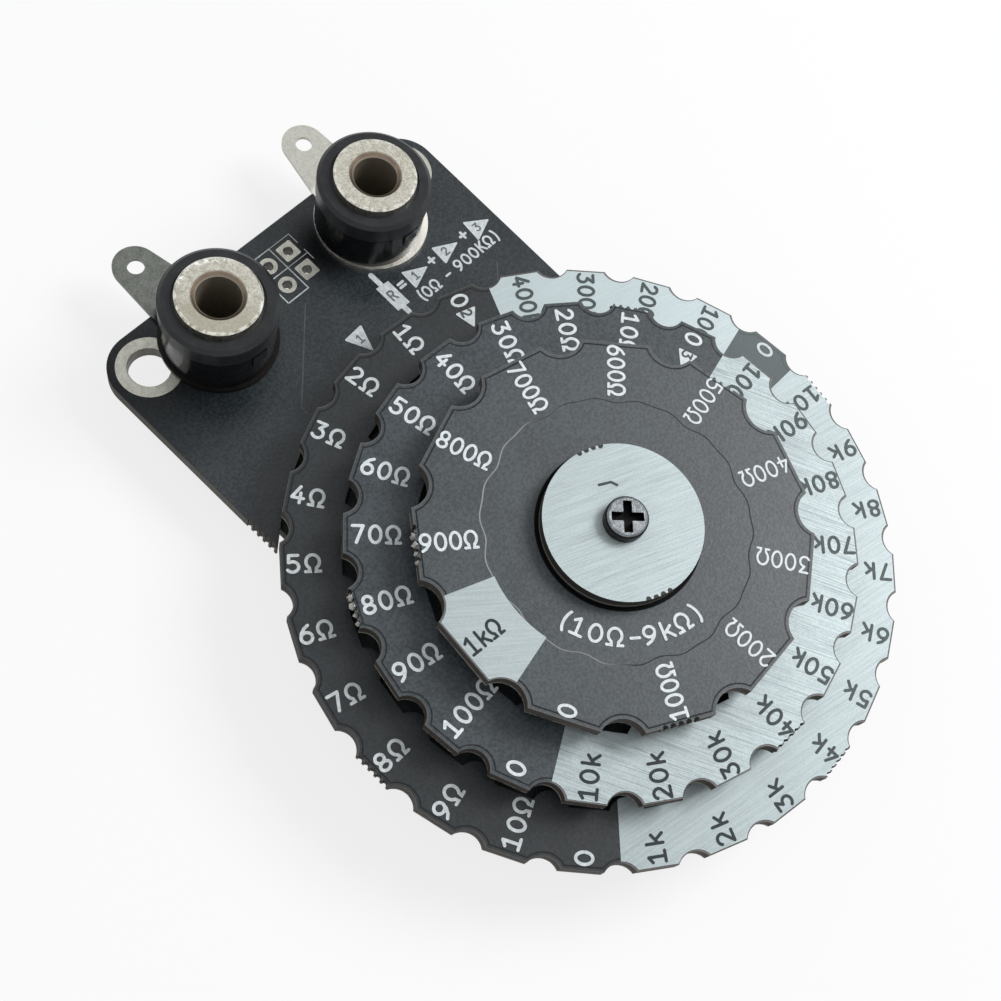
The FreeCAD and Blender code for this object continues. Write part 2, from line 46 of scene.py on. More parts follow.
# teeth, the turn of tooth 0 in degrees, the rim's flat and bites, the teeth with silver slots,
# the print (where it starts, and wide, spread, tall and ink of its signs), then mask and tin, whose tones paint
# each dial lighter or darker for the light it gets
dials = {
    1: dict(body="dial_1", teeth=27, turn=72.47, flat=28.5, bite=1.71, biteAt=29.47,
            silver=((11.5, 21.5), (22.5, 26.5)), start=28.1, silverStart=28.25,
            glyph=(1.08, 1.10, 1.0, 0.142), maskLitTone=0.72, gloss=0.42, grainTurn=14.0,
            marks=0.22, even=0.45, tinLitTone=0.82, crease=0.45, lateFrom=23,
            lateGlyph=(0.97, 0.93, 1.0, 0.132), litSideTurn=22.0, tinLitSideTurn=50.0),
    2: dict(body="dial_2", teeth=22, turn=20.99, flat=23.4, bite=1.64, biteAt=23.96,
            silver=((11.5, 21.5),), start=22.8, silverStart=23.28,
            glyph=(1.02, 1.02, 1.0, 0.142), maskLitTone=1.95, gloss=0.50, grainTurn=64.0,
            marks=0.58, even=0.15, tinLitTone=0.92, crease=0.6),
    3: dict(body="dial_3", teeth=11, turn=207.0, flat=17.74, bite=2.19, biteAt=18.95,
            silver=((9.5, 10.5),), silverFrom=12.0, start=17.5, silverStart=17.5,
            glyph=(0.92, 0.875, 0.98, 0.127), maskLitTone=1.88, gloss=0.66, grainTurn=40.0,
            marks=0.14, even=0.5, tinLitTone=0.88, crease=0.7, hubShadowRadius=7.56, thin=(2, 3, 4, 5),
            wavy=dict(mean=12.087, first=0.171, second=-0.112, turn=0.097, glintTurn=158.0)),
}
for number, dial in dials.items():
    dial["level"] = top["dial_%d_ring" % number]
    dial["pitch"] = 360.0 / dial["teeth"]


def fill(tree, socket, value):
    if isinstance(value, bpy.types.NodeSocket):
        tree.links.new(value, socket)
    else:
        socket.default_value = value


def mathNode(tree, kind, operation, values):
    node = tree.nodes.new(kind)
    node.operation = operation
    for socket, value in zip(node.inputs, values):
        fill(tree, socket, value)
    return node.outputs


def calc(tree, operation, *values):
    return mathNode(tree, "ShaderNodeMath", operation, values)[0]


def vectorCalc(tree, operation, *values):
    outputs = mathNode(tree, "ShaderNodeVectorMath", operation, values)
    return outputs["Value" if operation == "DISTANCE" else "Vector"]


def times(tree, a, b):
    return calc(tree, "MULTIPLY", a, b)


def plus(tree, a, b):
    return calc(tree, "ADD", a, b)


def minus(tree, a, b):
    return calc(tree, "SUBTRACT", a, b)


def without(tree, mask):
    return minus(tree, 1.0, mask)


# square root of a a + b b
def hypotenuse(tree, a, b):
    return calc(tree, "SQRT", plus(tree, times(tree, a, a), times(tree, b, b)))


# cosine of the angle between a turn in radians and one in degrees
def facing(tree, turn, degrees):
    return calc(tree, "COSINE", minus(tree, turn, math.radians(degrees)))


def inMm(tree, position):
    return vectorCalc(tree, "MULTIPLY", position, (1000, 1000, 1000))


def ramp(tree, value, low, high, toLow=0.0, toHigh=1.0):
    node = tree.nodes.new("ShaderNodeMapRange")
    node.interpolation_type = "SMOOTHSTEP"
    for name, number in (("Value", value), ("From Min", low), ("From Max", high),
                         ("To Min", toLow), ("To Max", toHigh)):
        fill(tree, node.inputs[name], number)
    return node.outputs["Result"]


def blendColour(tree, factor, first, second):
    node = tree.nodes.new("ShaderNodeMix")
    node.data_type = "RGBA"
    fill(tree, node.inputs[0], factor)
    for socket, value in ((node.inputs[6], first), (node.inputs[7], second)):
        fill(tree, socket, value if isinstance(value, bpy.types.NodeSocket) else (*value, 1.0))
    return node.outputs[2]


def blendValue(tree, factor, first, second):
    node = tree.nodes.new("ShaderNodeMix")
    fill(tree, node.inputs[0], factor)
    fill(tree, node.inputs[2], first)
    fill(tree, node.inputs[3], second)
    return node.outputs[0]


def noise(tree, position, scale, detail=2.0, rough=0.5):
    node = tree.nodes.new("ShaderNodeTexNoise")
    for name, value in (("Vector", position), ("Scale", scale), ("Detail", detail), ("Roughness", rough)):
        fill(tree, node.inputs[name], value)
    return node.outputs["Fac"]


def split(tree, vector):
    node = tree.nodes.new("ShaderNodeSeparateXYZ")
    fill(tree, node.inputs[0], vector)
    return node.outputs


# x, y and z in mm, with x and y from a centre
def mmFrom(tree, position, centre):
    return split(tree, vectorCalc(tree, "SUBTRACT", inMm(tree, position), (*centre, 0.0)))


def newGroup(name, inputs, outputs):
    tree = bpy.data.node_groups.new(name, "ShaderNodeTree")
    for label, kind, value in inputs:
        socket = tree.interface.new_socket(label, in_out="INPUT", socket_type="NodeSocket" + kind)
        if value is not None:
            socket.default_value = value
    for label, kind in outputs:
        tree.interface.new_socket(label, in_out="OUTPUT", socket_type="NodeSocket" + kind)
    return tree, tree.nodes.new("NodeGroupInput").outputs, tree.nodes.new("NodeGroupOutput").inputs


def useGroup(tree, group, **values):
    node = tree.nodes.new("ShaderNodeGroup")
    node.node_tree = group
    for name, value in values.items():
        fill(tree, node.inputs[name], value)
    return node.outputs


# distance in mm from the toothed rim, and where a point lies round the dial:
# a = wrap(angle - turn) to one pitch, p = (r cos a, r |sin a|),
# depth = min(flat - p.x, |p - biteAt (cos half, sin half)| - bite)
rimGroup, into, out = newGroup("toothedRim", [
    ("Position", "Vector", None), ("Teeth", "Float", 11.0), ("Turn", "Float", 0.0),
    ("Flat", "Float", 18.0), ("Bite", "Float", 2.0), ("BiteAt", "Float", 19.0)],
    [("Depth", "Float"), ("Radius", "Float"), ("Slot", "Float")])
x, y, z = mmFrom(rimGroup, into["Position"], pivot)
radius = hypotenuse(rimGroup, x, y)
angle = minus(rimGroup, calc(rimGroup, "ARCTAN2", y, x), into["Turn"])
pitch = calc(rimGroup, "DIVIDE", 2 * math.pi, into["Teeth"])
half = times(rimGroup, pitch, 0.5)
near = calc(rimGroup, "WRAP", angle, half, times(rimGroup, half, -1.0))
along = times(rimGroup, radius, calc(rimGroup, "COSINE", near))
aside = calc(rimGroup, "ABSOLUTE", times(rimGroup, radius, calc(rimGroup, "SINE", near)))
toBite = [minus(rimGroup, value, times(rimGroup, into["BiteAt"], calc(rimGroup, kind, half)))
          for value, kind in ((along, "COSINE"), (aside, "SINE"))]
fill(rimGroup, out["Depth"], calc(rimGroup, "MINIMUM", minus(rimGroup, into["Flat"], along),
                                  minus(rimGroup, hypotenuse(rimGroup, *toBite), into["Bite"])))
fill(rimGroup, out["Radius"], radius)
fill(rimGroup, out["Slot"], calc(rimGroup, "DIVIDE", calc(rimGroup, "WRAP", angle, 2 * math.pi, 0.0), pitch))

# brushed tin: noise read at (0.2 u, 8 v), u along the brush and v across it, thin dark
# scratches where a second noise at (0.06 u, 5.6 v) passes its middle, and a fine even grain
brushGroup, into, out = newGroup("brushMarks", [
    ("Position", "Vector", None), ("Turn", "Float", 0.0)],
    [("Streaks", "Float"), ("Scratches", "Float"), ("Blotches", "Float")])
turned = brushGroup.nodes.new("ShaderNodeVectorRotate")
turned.rotation_type = "Z_AXIS"
fill(brushGroup, turned.inputs["Vector"], inMm(brushGroup, into["Position"]))
fill(brushGroup, turned.inputs["Angle"], into["Turn"])
fine = noise(brushGroup, vectorCalc(
    brushGroup, "MULTIPLY", turned.outputs[0], (0.2, 8.0, 1.0)), 1.0, 2.0, 0.6)
grain = noise(brushGroup, turned.outputs[0], 5.5, 2.0, 0.7)
mixed = plus(brushGroup, times(brushGroup, fine, 0.6), times(brushGroup, grain, 0.4))
fill(brushGroup, out["Streaks"], ramp(brushGroup, mixed, 0.36, 0.64))
cuts = noise(brushGroup, vectorCalc(
    brushGroup, "MULTIPLY", turned.outputs[0], (0.06, 5.6, 1.0)), 1.0, 1.0)
offCut = calc(brushGroup, "ABSOLUTE", minus(brushGroup, cuts, 0.51))
fill(brushGroup, out["Scratches"], ramp(brushGroup, offCut, 0.008, 0.036, 1.0, 0.0))
fill(brushGroup, out["Blotches"], noise(brushGroup, turned.outputs[0], 0.35, 3.0, 0.6))

# solder mask: fine pimples, a slow cloud and rare dust specks
maskGroup, into, out = newGroup("solderMask", [("Position", "Vector", None)],
                                [("Pimples", "Float"), ("Cloud", "Float"), ("Dust", "Float")])
spot = inMm(maskGroup, into["Position"])
fill(maskGroup, out["Pimples"], noise(maskGroup, spot, 3.6, 3.0, 0.7))
fill(maskGroup, out["Cloud"], noise(maskGroup, spot, 0.22, 3.0, 0.6))
fill(maskGroup, out["Dust"], ramp(maskGroup, noise(maskGroup, spot, 2.6, 4.0, 0.7), 0.70, 0.78))

# the cut edge of the board: thin layers of weave, warm grey
edgeGroup, into, out = newGroup("cutLaminate", [("Position", "Vector", None)],
                                [("Layers", "Float"), ("Fibres", "Float")])
spot = inMm(edgeGroup, into["Position"])
fill(edgeGroup, out["Layers"], noise(edgeGroup, vectorCalc(
    edgeGroup, "MULTIPLY", spot, (0.6, 0.6, 7.0)), 1.0, 2.0))
fill(edgeGroup, out["Fibres"], noise(edgeGroup, spot, 5.0, 3.0, 0.7))


def newMaterial(name):
    material = bpy.data.materials.new(name)
    material.use_nodes = True
    tree = material.node_tree
    shader = tree.nodes["Principled BSDF"]
    position = tree.nodes.new("ShaderNodeTexCoord").outputs["Object"]
    return material, tree, shader, position


def bump(tree, shader, height, distance, strength=1.0):
    node = tree.nodes.new("ShaderNodeBump")
    node.inputs["Distance"].default_value = distance * mm
    node.inputs["Strength"].default_value = strength
    fill(tree, node.inputs["Height"], height)
    tree.links.new(node.outputs[0], shader.inputs["Normal"])


# faces that look up, and walls
def faceMasks(tree, steep=0.6):
    up = split(tree, tree.nodes.new("ShaderNodeNewGeometry").outputs["True Normal"])[2]
    return calc(tree, "GREATER_THAN", up, steep), calc(tree, "LESS_THAN", calc(tree, "ABSOLUTE", up), steep)


boardColours = dict(mask=(0.0075, 0.0115, 0.0140), maskLight=(0.0260, 0.0335, 0.0385),
                    maskLitSide=(0.110, 0.136, 0.142), dust=(0.25, 0.25, 0.24),
                    rim=(0.10, 0.094, 0.086), rimTin=(0.23, 0.20, 0.19),
                    crease=(0.010, 0.010, 0.011), creaseGlint=(0.30, 0.305, 0.30),
                    laminate=(0.046, 0.038, 0.031), laminateDark=(0.016, 0.014, 0.012),
                    fibre=(0.15, 0.13, 0.11), holeWallShade=(0.006, 0.005, 0.004), lowEdgeHighlight=(0.30, 0.275, 0.225),
                    tin=(0.447, 0.514, 0.526), tinDark=(0.318, 0.366, 0.378), tinLitSide=(0.53, 0.61, 0.63),
                    tinCut=(0.169, 0.193, 0.204), hole=(0.008, 0.007, 0.006),
                    hubWall=(0.007, 0.006, 0.005), hubLine=(0.24, 0.22, 0.18), line=(0.004, 0.004, 0.004))
# depths in from a dial's rim and down its wall, then heights
boardSizes = dict(tinFrom=0.13, pour=(0.30, 0.38), lineIn=(0.25, 0.31), lineOut=(0.38, 0.47),
                  rimHighlight=(0.03, 0.11), holeWallShade=(0.04, 0.10), lowEdgeHighlight=(1.20, 1.34), hubLine=1.25,
                  hubLineHalf=(0.06, 0.17), pimple=0.032, pourRise=0.03, copperRise=0.16, holeSink=0.08)


# distance in mm from a point of the plan
def inPlan(tree, position, place):
    return vectorCalc(tree, "DISTANCE", vectorCalc(tree, "MULTIPLY", position, (1000, 1000, 0)), place)


# brushed tin over a board face: colour, roughness and height
def brushedTin(tree, position, look):
    # painted light: the tin's tone makes each dial and the hub lighter or darker for the light it gets
    c = {name: [v * look["tinLitTone"] for v in boardColours[name]] for name in ("tin", "tinDark", "tinCut")}
    brush = useGroup(tree, brushGroup, Position=position, Turn=math.radians(look["grainTurn"]))
    tin = blendColour(tree, ramp(tree, brush["Streaks"], 0.0, 1.0, look["even"], 1.0), c["tinDark"], c["tin"])
    tin = blendColour(tree, times(tree, brush["Scratches"], look["marks"]), tin, c["tinCut"])
    tin = blendColour(tree, ramp(tree, brush["Blotches"], 0.3, 0.8, 0.0, 0.35), tin, c["tin"])
    height = minus(tree, times(tree, brush["Streaks"], 0.004),
                   times(tree, brush["Scratches"], 0.009 * look["marks"]))
    return tin, 0.52, height


# solder mask over laminate, with bare tin in the dial's silver slots or, with bare, all over
def boardMaterial(name, dial=None, bare=None, litTone=1.0, gloss=0.45, smooth=0.0, paintedShades=(), cut=None):
    material, tree, shader, position = newMaterial(name)
    c, b = boardColours, boardSizes
    faceUp, onSide = faceMasks(tree)
    mask = useGroup(tree, maskGroup, Position=position)
    edge = useGroup(tree, edgeGroup, Position=position)
    if dial:
        litTone, gloss = dial["maskLitTone"], dial["gloss"]
    mottle = ramp(tree, blendValue(tree, 0.78, mask["Cloud"], mask["Pimples"]), 0.38, 0.62)
    # painted light: the mask's tone makes each board lighter or darker for the light it gets
    colour = blendColour(tree, mottle, [v * litTone for v in c["mask"]], [v * litTone for v in c["maskLight"]])
    colour = blendColour(tree, times(tree, mask["Dust"], 0.18), colour, c["dust"])
    rough = ramp(tree, mask["Cloud"], 0.2, 0.8, 0.40 - smooth, 0.50 - smooth)
    height = times(tree, mask["Pimples"], b["pimple"])
    for paintedShade in paintedShades:  # painted shade: dark, dull patches of mask where shadow falls: the middle and two radii
        away = inPlan(tree, position, paintedShade["at"])
        shadePatch = ramp(tree, away, paintedShade["inner"], paintedShade["outer"], paintedShade["depth"], 0.0)
        colour = blendColour(tree, shadePatch, colour, c["line"])
        gloss = times(tree, without(tree, shadePatch), gloss)
    metal = 0.0
    if dial:
        rim = useGroup(tree, rimGroup, Position=position, Teeth=dial["teeth"],
                       Turn=math.radians(dial["turn"]), Flat=dial["flat"], Bite=dial["bite"],
                       BiteAt=dial["biteAt"])
        pour = ramp(tree, rim["Depth"], *b["pour"])
        line = times(tree, ramp(tree, rim["Depth"], *b["lineIn"]),
                    ramp(tree, rim["Depth"], *b["lineOut"], 1.0, 0.0))
        line = times(tree, line, dial["crease"])
        silver = 0.0
        for low, high in dial["silver"]:
            band = times(tree, calc(tree, "GREATER_THAN", rim["Slot"], low),
                        calc(tree, "LESS_THAN", rim["Slot"], high))
            silver = band if isinstance(silver, float) else plus(tree, silver, band)
        rimHighlightColour = blendColour(tree, silver, c["rim"], c["rimTin"])
        silver = times(tree, silver, faceUp)
        silver = times(tree, silver, calc(tree, "GREATER_THAN", rim["Depth"], b["tinFrom"]))
        if "silverFrom" in dial:
            silver = times(tree, silver, calc(tree, "GREATER_THAN", rim["Radius"], dial["silverFrom"]))
        colour = blendColour(tree, line, colour, c["line"])
        gloss = times(tree, without(tree, line), gloss)
        x, y, z = mmFrom(tree, position, pivot)
        turnTo = calc(tree, "ARCTAN2", y, x)
        if "litSideTurn" in dial:  # painted light: one side of the mask is paler, as if lit
            pale = ramp(tree, facing(tree, turnTo, dial["litSideTurn"]), 0.80, 0.96, 0.0, 0.85)
            colour = blendColour(tree, pale, colour, c["maskLitSide"])
        if "hubShadowRadius" in dial:  # painted shade: a dark, dull ring round the hub's foot, where its shadow falls
            ring = ramp(tree, rim["Radius"], dial["hubShadowRadius"] - 0.07, dial["hubShadowRadius"] + 0.03, 0.95, 0.0)
            colour = blendColour(tree, ring, colour, c["line"])
            gloss = times(tree, without(tree, ring), gloss)
        # painted highlight: a pale line along the rim's top edge, tin-toned on the silver slots
        colour = blendColour(tree, ramp(tree, rim["Depth"], *b["rimHighlight"], 0.6, 0.0), colour, rimHighlightColour)
        height = plus(tree, height, times(tree, pour, b["pourRise"]))
        if "wavy" in dial:  # the copper's inner edge: r = mean + first cos(n a) + second cos(2 n a)
            w = dial["wavy"]
            phase = times(tree, dial["teeth"], plus(tree, w["turn"], turnTo))
            waves = plus(tree, times(tree, w["first"], calc(tree, "COSINE", phase)),
                         times(tree, w["second"], calc(tree, "COSINE", times(tree, phase, 2.0))))
            past = minus(tree, rim["Radius"], plus(tree, w["mean"], waves))
            height = plus(tree, height, times(tree, ramp(tree, past, -0.07, 0.07), b["copperRise"]))
            crease = ramp(tree, calc(tree, "ABSOLUTE", past), 0.02, 0.070, 1.0, 0.0)
            turned = calc(tree, "DIVIDE", phase, dial["teeth"])
            paintedGlint = ramp(tree, facing(tree, turned, w["glintTurn"]), 0.22, 0.50)
            # painted shade and highlight: the copper edge's step is drawn dark all round and pale on one side
            colour = blendColour(tree, times(tree, crease, 0.6), colour, c["crease"])
            colour = blendColour(tree, times(tree, crease, paintedGlint), colour, c["creaseGlint"])
        tin, tinRough, tinHeight = brushedTin(tree, position, dial)
        if "tinLitSideTurn" in dial:  # painted light: and one side of the tin is paler, as if lit
            bright = ramp(tree, facing(tree, turnTo, dial["tinLitSideTurn"]), 0.45, 0.95, 0.0, 0.45)
            tin = blendColour(tree, bright, tin, c["tinLitSide"])
        colour = blendColour(tree, silver, colour, tin)
        metal = times(tree, silver, 0.6)
        rough = blendValue(tree, silver, rough, tinRough)
        height = blendValue(tree, silver, height, tinHeight)
    elif bare:
        colour, rough, height = brushedTin(tree, position, bare)
        # painted shade: the snapped tab's half holes are dark spots at s = (k + 1/2) pitch along the rim, twice
        # round the disc
        x, y, z = mmFrom(tree, position, pivot)
        turnTo = minus(tree, calc(tree, "ARCTAN2", y, x), math.radians(bare["tabTurn"]))
        along = times(tree, calc(tree, "WRAP", turnTo, math.pi / 2, -math.pi / 2), bare["rim"])
        toHole = minus(tree, calc(tree, "WRAP", along, bare["pitch"], 0.0), bare["pitch"] / 2)
        toRim = minus(tree, bare["rim"] - 0.05, hypotenuse(tree, x, y))
        apart = hypotenuse(tree, toHole, toRim)
        hole = times(tree, calc(tree, "LESS_THAN", calc(tree, "ABSOLUTE", along), bare["pitch"] * 2),
                    ramp(tree, plus(tree, apart, times(tree, mask["Pimples"], 0.16)),
                         bare["hole"] + 0.04, bare["hole"] + 0.10, 1.0, 0.0))
        colour = blendColour(tree, hole, colour, c["hole"])
        metal = times(tree, without(tree, calc(tree, "MAXIMUM", onSide, hole)), 0.6)
        height = minus(tree, height, times(tree, hole, b["holeSink"]))
    # painted light: a board's own cut colour can make its walls lighter for the light they get
    sideColour = blendColour(tree, edge["Layers"], c["laminateDark"], cut or c["laminate"])
    sideColour = blendColour(tree, ramp(tree, edge["Fibres"], 0.55, 0.75, 0.0, 0.4), sideColour, c["fibre"])
    down = minus(tree, dial["level"] if dial else top["hub_disc"], split(tree, inMm(tree, position))[2])
    if dial:  # painted shade and highlight: dark walls in the snapped holes, and a broken pale line along the lower edge
        sideColour = blendColour(tree, ramp(tree, rim["Depth"], *b["holeWallShade"]), sideColour, c["holeWallShade"])
        lowEdgeHighlight = times(tree, ramp(tree, down, *b["lowEdgeHighlight"], 0.0, 0.85), ramp(
            tree, blendValue(tree, 0.5, mask["Cloud"], mask["Pimples"]), 0.44, 0.54))
        sideColour = blendColour(tree, lowEdgeHighlight, sideColour, c["lowEdgeHighlight"])
    elif bare:
        paleLine = ramp(tree, calc(tree, "ABSOLUTE", minus(tree, down, b["hubLine"])),
                        *b["hubLineHalf"], 0.8, 0.0)
        sideColour = blendColour(tree, 0.8, sideColour, c["hubWall"])
        sideColour = blendColour(tree, paleLine, sideColour, c["hubLine"])
    colour = blendColour(tree, onSide, colour, sideColour)
    rough = blendValue(tree, onSide, rough, 0.75)
    fill(tree, shader.inputs["Base Color"], colour)
    fill(tree, shader.inputs["Roughness"], rough)
    fill(tree, shader.inputs["Metallic"], metal)
    bump(tree, shader, height, 1.0, 0.6)
    fill(tree, shader.inputs["Specular IOR Level"], gloss)
    return material


# plated metal: a cloud and fine specks between dull and bright; walls, what lies inside a ring
# or what lies below a level take their own colour: painted shade on walls and below a level, painted shade or
# highlight inside a ring
def metalMaterial(name, bright, dull, rough=(0.2, 0.35), scale=1.2, pits=0.004, shadedWalls=None, shadeBelow=None,
                  dark=(0.02, 0.02, 0.02), ring=None):
    material, tree, shader, position = newMaterial(name)
    spot = inMm(tree, position)
    cloud = noise(tree, spot, scale, 4.0, 0.65)
    specks = noise(tree, spot, scale * 5.0, 2.0, 0.7)
    factor = ramp(tree, blendValue(tree, 0.55, cloud, specks), 0.34, 0.66)
    colour = blendColour(tree, factor, dull, bright)
    if ring:
        inside = ramp(tree, inPlan(tree, position, ring["at"]), ring["inner"], ring["outer"], 1.0, 0.0)
        colour = blendColour(tree, inside, colour, ring["colour"])
    if shadedWalls:
        colour = blendColour(tree, times(tree, faceMasks(tree)[1], 0.9), colour, shadedWalls)
    if shadeBelow:
        recessShade = ramp(tree, split(tree, spot)[2], shadeBelow - 0.04, shadeBelow, 1.0, 0.0)
        colour = blendColour(tree, recessShade, colour, dark)
    fill(tree, shader.inputs["Base Color"], colour)
    fill(tree, shader.inputs["Roughness"], ramp(tree, cloud, 0.2, 0.8, rough[1], rough[0]))
    shader.inputs["Metallic"].default_value = 1.0
    bump(tree, shader, times(tree, factor, pits), 1.0, 0.7)
    return material


# plastic, ink or torn fibre: a cloud between two colours, and a fine grain
def plasticMaterial(name, colour, light, rough=(0.12, 0.3), scale=0.8, grain=0.003, specular=0.5, litTowardsX=None):
    material, tree, shader, position = newMaterial(name)
    spot = inMm(tree, position)
    cloud = noise(tree, spot, scale, 4.0, 0.6)
    mixed = blendColour(tree, ramp(tree, cloud, 0.3, 0.75), colour, light)
    if litTowardsX:  # painted light: paler towards +x, the side the light comes from
        mixed = blendColour(tree, ramp(tree, split(tree, spot)[0], litTowardsX["low"], litTowardsX["high"]),
                            mixed, litTowardsX["colour"])
    fill(tree, shader.inputs["Base Color"], mixed)
    fill(tree, shader.inputs["Roughness"], ramp(tree, cloud, 0.25, 0.75, rough[0], rough[1]))
    bump(tree, shader, times(tree, noise(tree, spot, 5.0, 3.0), grain), 1.0, 0.7)
    shader.inputs["Specular IOR Level"].default_value = specular
    return material


boardInner = boardMaterial("boardInner")
# painted light and shade on the head board: lighter tone and cut walls, and dark patches where shadow falls
boardHead = boardMaterial("boardHead", litTone=1.25, gloss=0.42, smooth=0.14, cut=(0.170, 0.158, 0.134), paintedShades=(
    dict(at=(4.4, -1.2, 0.0), inner=0.8, outer=4.6, depth=0.85),
    dict(at=(-17.5, -2.0, 0.0), inner=2.5, outer=10.5, depth=0.55)))
boardDial = {number: boardMaterial("boardDial%d" % number, dial) for number, dial in dials.items()}
tinHub = boardMaterial("tinHub", bare=dict(grainTurn=23.0, marks=0.24, even=0.3, tinLitTone=0.93, rim=7.18,
                                           tabTurn=68.0, pitch=0.70, hole=0.25))
# painted shade: the plating's walls in the holes are dark
tinPlating = metalMaterial("tinPlating", (0.50, 0.50, 0.45), (0.33, 0.33, 0.295), (0.30, 0.46), 1.6,
                           pits=0.012, shadedWalls=(0.035, 0.031, 0.026))
# painted light: one tag metal in a shaded copy (left) and a lit one (right), with painted shade or highlight
# round each socket's foot
tagShaded = metalMaterial("tagShaded", (0.19, 0.20, 0.185), (0.11, 0.12, 0.108), (0.35, 0.50), 1.3, pits=0.010,
                        ring=dict(at=(-9.525, -1.9, 0.0), inner=5.8, outer=6.4, colour=(0.020, 0.019, 0.017)))
tagLit = metalMaterial("tagLit", (0.55, 0.55, 0.50), (0.40, 0.40, 0.365), (0.30, 0.45), 1.3, pits=0.008,
                         ring=dict(at=(9.525, -1.9, 0.0), inner=5.8, outer=6.4, colour=(0.78, 0.76, 0.70)))
nickel = metalMaterial("nickel", (0.66, 0.64, 0.59), (0.46, 0.44, 0.40), (0.18, 0.32), 1.4)
goldFlash = metalMaterial("goldFlash", (0.80, 0.58, 0.28), (0.62, 0.44, 0.20), (0.22, 0.35), 1.2)
brass = metalMaterial("brass", (0.72, 0.55, 0.28), (0.50, 0.36, 0.17), (0.25, 0.4), 1.0)
springSteel = metalMaterial("springSteel", (0.50, 0.50, 0.50), (0.33, 0.33, 0.34), (0.25, 0.4), 1.0)
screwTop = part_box("pivot_screw")[1][2] / mm
# painted shade: the screw's cross recess is dark below the head's top
screwSteel = metalMaterial("screwSteel", (0.27, 0.29, 0.305), (0.10, 0.108, 0.115), (0.34, 0.50), 1.8,
                           pits=0.03, shadeBelow=screwTop - 0.14, dark=(0.012, 0.011, 0.011))
collarPlastic = plasticMaterial("collarPlastic", (0.012, 0.013, 0.015), (0.022, 0.024, 0.027), (0.32, 0.46),
                                grain=0.010, specular=0.30)
sleevePlastic = plasticMaterial("sleevePlastic", (0.004, 0.0042, 0.005), (0.008, 0.009, 0.010), (0.16, 0.30),
                                specular=0.16)
spacerPlastic = plasticMaterial("spacerPlastic", (0.025, 0.025, 0.027), (0.04, 0.04, 0.042), (0.35, 0.5))
chipBody = plasticMaterial("chipBody", (0.018, 0.018, 0.020), (0.03, 0.03, 0.033), (0.3, 0.45))
whitePrint = plasticMaterial("whitePrint", (0.56, 0.61, 0.62), (0.80, 0.85, 0.86), (0.45, 0.6), 2.6, 0.012)
# a brighter copy of the white print, used on dials 2 and 3
brighterPrint = plasticMaterial("brighterPrint", (0.68, 0.74, 0.76), (0.92, 0.97, 1.0), (0.45, 0.6), 2.6, 0.012)
faintPrint = plasticMaterial("faintPrint", (0.10, 0.12, 0.125), (0.17, 0.19, 0.195), (0.45, 0.6), 2.6, 0.010)
# painted light: the dark print is paler towards +x
darkPrint = plasticMaterial("darkPrint", (0.013, 0.021, 0.024), (0.027, 0.038, 0.043), (0.4, 0.55), 2.6,
                            0.010, 0.28, litTowardsX=dict(low=-9.0, high=8.0, colour=(0.070, 0.090, 0.092)))
nubPale = plasticMaterial("nubPale", (0.42, 0.39, 0.34), (0.94, 0.92, 0.87), (0.25, 0.5), 3.0, 0.03)
nubDark = plasticMaterial("nubDark", (0.012, 0.011, 0.010), (0.070, 0.063, 0.054), (0.6, 0.8), 3.0, 0.03)

# the sockets' tubes: specked nickel on top, with a painted highlight along the rim's edge and nicks on its far
# side, the left one duller on its near side; brown down the mouth, and a dull dark bore
tubeSizes = dict(across=9.525, along=-1.9, clear=2.52, brown=2.30, bore=2.12, rim=3.84, nickTurn=76.0,
                 dullTurn=222.0)
tubeColours = dict(dull=(0.33, 0.315, 0.26), bright=(0.62, 0.61, 0.54), dullerSide=(0.34, 0.315, 0.245),
                   edge=(0.80, 0.79, 0.73), nick=(0.95, 0.95, 0.92), mouthDark=(0.12, 0.09, 0.065),
                   mouth=(0.30, 0.24, 0.18), bore=(0.27, 0.24, 0.19))


